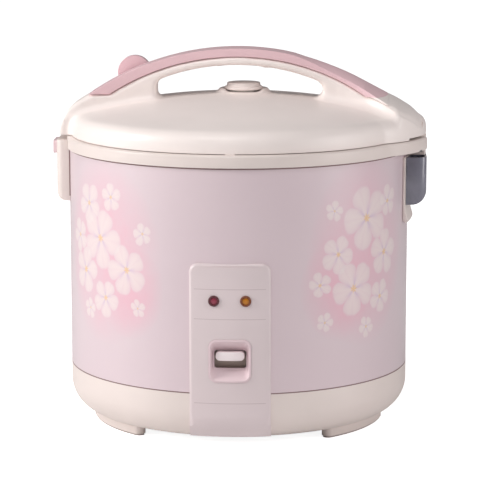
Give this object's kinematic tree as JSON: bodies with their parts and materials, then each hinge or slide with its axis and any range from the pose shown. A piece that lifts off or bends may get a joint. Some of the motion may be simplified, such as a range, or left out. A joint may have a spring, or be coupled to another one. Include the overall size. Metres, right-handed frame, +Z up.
{
  "type": "rice cooker",
  "caption": "Round rice cooker with a printed shell, hinged lid, arched carrying handle, push-button latch, cook lever with two lamps, lift-off steam cap and slide-out dew cup.",
  "frame": {"origin": "on the axis of the round body at the floor, under the middle of the whole cooker", "axes": "+Z up; the control panel faces -Y; +X points to the lid hinge and the dew cup, -X to the latch and its button"},
  "size_m": [0.3016, 0.2813, 0.2997],
  "materials": {
    "cream_plastic": "moulded gloss",
    "pink_plastic": "moulded gloss",
    "knob_plastic": "moulded gloss",
    "button_plastic": "moulded gloss",
    "printed_steel": "printed and lacquered, flowers on pale lilac",
    "rubber": "matt",
    "silicone": "translucent matt",
    "galvanised_steel": "plain sheet",
    "screw_steel": "plated",
    "spring_steel": "bright wire",
    "pot_coating": "dark non-stick coating",
    "heater_aluminium": "satin",
    "brass": "plain",
    "heater_band": "mica and glass cloth band",
    "ferrite": "matt",
    "black_plastic": "satin",
    "white_plastic": "moulded",
    "red_lens": "clear red",
    "amber_lens": "clear amber",
    "lamp_glass": "clear",
    "smoke_plastic": "smoked, see-through"
  },
  "bodies": {
    "base": {"base_shell": "cream_plastic", "foot_pads": "rubber", "bottom_plate": "galvanised_steel", "base_screws": "screw_steel", "outer_shell": "printed_steel", "rim_ring": "cream_plastic", "inner_liner": "galvanised_steel", "inner_pot": "pot_coating", "heater_plate": "heater_aluminium", "heater_terminals": "brass", "side_heater": "heater_band", "sensor_bracket": "galvanised_steel", "sensor_spring": "spring_steel", "lever_bracket": "galvanised_steel", "lever_pin": "screw_steel", "micro_switch": "black_plastic", "control_panel": "cream_plastic", "switch_bezel": "pink_plastic", "cook_lamp_lens": "red_lens", "warm_lamp_lens": "amber_lens", "lamp_holder": "white_plastic", "neon_lamps": "lamp_glass", "power_inlet": "black_plastic", "inlet_pins": "brass", "latch_housing": "cream_plastic", "latch_pin": "screw_steel", "latch_spring": "spring_steel", "hinge_pin": "screw_steel", "hinge_spring": "spring_steel", "collector_bracket": "cream_plastic"},
    "lid": {"lid_shell": "cream_plastic", "handle_core": "cream_plastic", "lid_frame": "white_plastic", "handle_cover": "pink_plastic", "inner_lid": "heater_aluminium", "inner_lid_gasket": "silicone", "vent_tube": "silicone", "lock_pin": "screw_steel"},
    "cook_lever": {"cook_lever": "galvanised_steel", "lever_knob": "knob_plastic"},
    "magnet_rod": {"magnet_rod": "ferrite"},
    "sensor": {"sensor_cup": "heater_aluminium", "sensor_ferrite": "ferrite"},
    "latch_hook": {"latch_hook": "galvanised_steel"},
    "release_button": {"release_button": "button_plastic"},
    "lock_knob": {"lock_knob": "pink_plastic"},
    "steam_cap": {"steam_cap": "cream_plastic"},
    "dew_collector": {"dew_collector": "smoke_plastic"}
  },
  "joints": [
    {"name": "lid_hinge", "type": "hinge", "parent": "base", "child": "lid", "pos_m": [0.1465, 0, 0.22], "axis": [0, 1, 0], "range_deg": [0, 85]},
    {"name": "lever_rock", "type": "hinge", "parent": "base", "child": "cook_lever", "pos_m": [0, -0.075, 0.0496], "axis": [1, 0, 0], "range_deg": [0, 4.33], "stiffness_Nm_per_rad": 0.1, "springref_deg": -11.46},
    {"name": "magnet_lift", "type": "slide", "parent": "base", "child": "magnet_rod", "axis": [0, 0, 1], "range_m": [0, 0.00575]},
    {"name": "sensor_plunge", "type": "slide", "parent": "base", "child": "sensor", "axis": [0, 0, 1], "range_m": [-0.002, 0], "stiffness_N_per_m": 400, "springref_m": 0.004, "deforming": ["sensor_spring"]},
    {"name": "button_push", "type": "slide", "parent": "base", "child": "release_button", "axis": [1, 0, 0], "range_m": [0, 0.0035], "stiffness_N_per_m": 300, "springref_m": -0.005},
    {"name": "hook_turn", "type": "hinge", "parent": "base", "child": "latch_hook", "pos_m": [-0.137, 0, 0.1857], "axis": [0, 1, 0], "range_deg": [0, 6]},
    {"name": "lock_turn", "type": "hinge", "parent": "lid", "child": "lock_knob", "pos_m": [-0.086, 0.0187, 0.2775], "axis": [0, 1, 0], "range_deg": [0, 90]},
    {"name": "cap_lift", "type": "slide", "parent": "lid", "child": "steam_cap", "axis": [0, 0, 1], "range_m": [0, 0.012]},
    {"name": "collector_slide", "type": "slide", "parent": "base", "child": "dew_collector", "axis": [1, 0, 0], "range_m": [0, 0.035]}
  ],
  "couplings": [
    {"joint": "magnet_lift", "follows": "lever_rock", "m_per_rad": 0.075},
    {"joint": "hook_turn", "follows": "button_push", "rad_per_m": 29.412}
  ]
}
